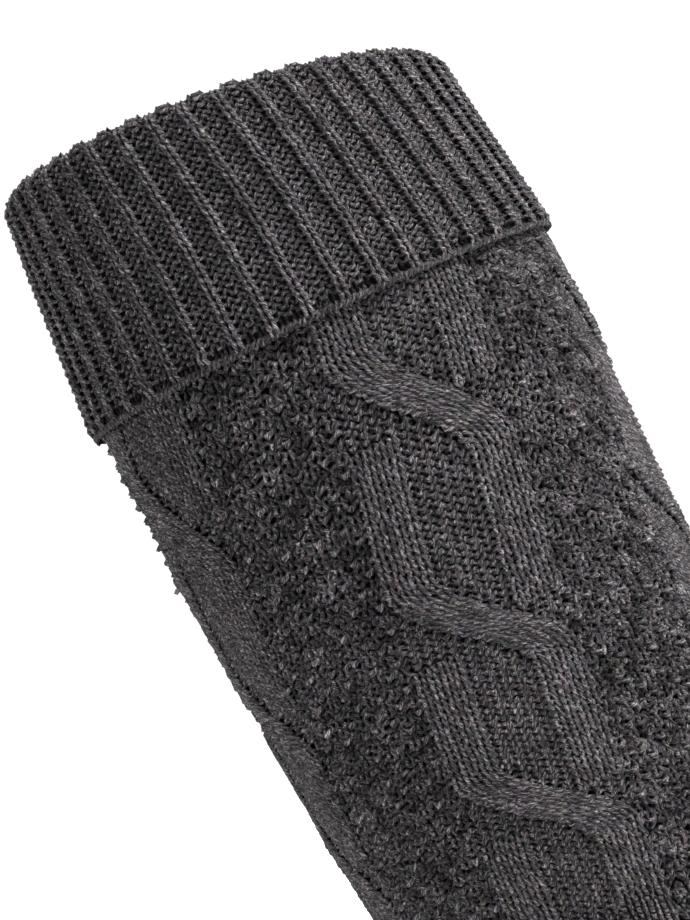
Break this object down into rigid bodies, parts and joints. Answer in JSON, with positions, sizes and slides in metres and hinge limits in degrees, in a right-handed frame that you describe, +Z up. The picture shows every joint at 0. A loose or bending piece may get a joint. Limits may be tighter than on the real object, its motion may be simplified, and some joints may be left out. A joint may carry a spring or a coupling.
{
  "type": "knee sock",
  "caption": "Knee-high knitted sock with a turned-down ribbed cuff and cabled leg, in the rounded form it has when worn.",
  "frame": {"origin": "middle of the leg opening, at the middle level of the folded rim, which slopes by 8 degrees across the sock", "axes": "+Z up along the leg and out of the opening, toe towards -Y, X across the sock"},
  "size_m": [0.1245, 0.2674, 0.4375],
  "materials": {
    "rib_knit": "matt marled rib knit",
    "cable_knit": "matt marled cable and moss knit",
    "plain_knit": "matt marled stocking stitch"
  },
  "bodies": {
    "root": {"cuff": "rib_knit", "leg": "cable_knit", "heel": "plain_knit", "foot": "plain_knit", "toe": "plain_knit"}
  },
  "joints": []
}
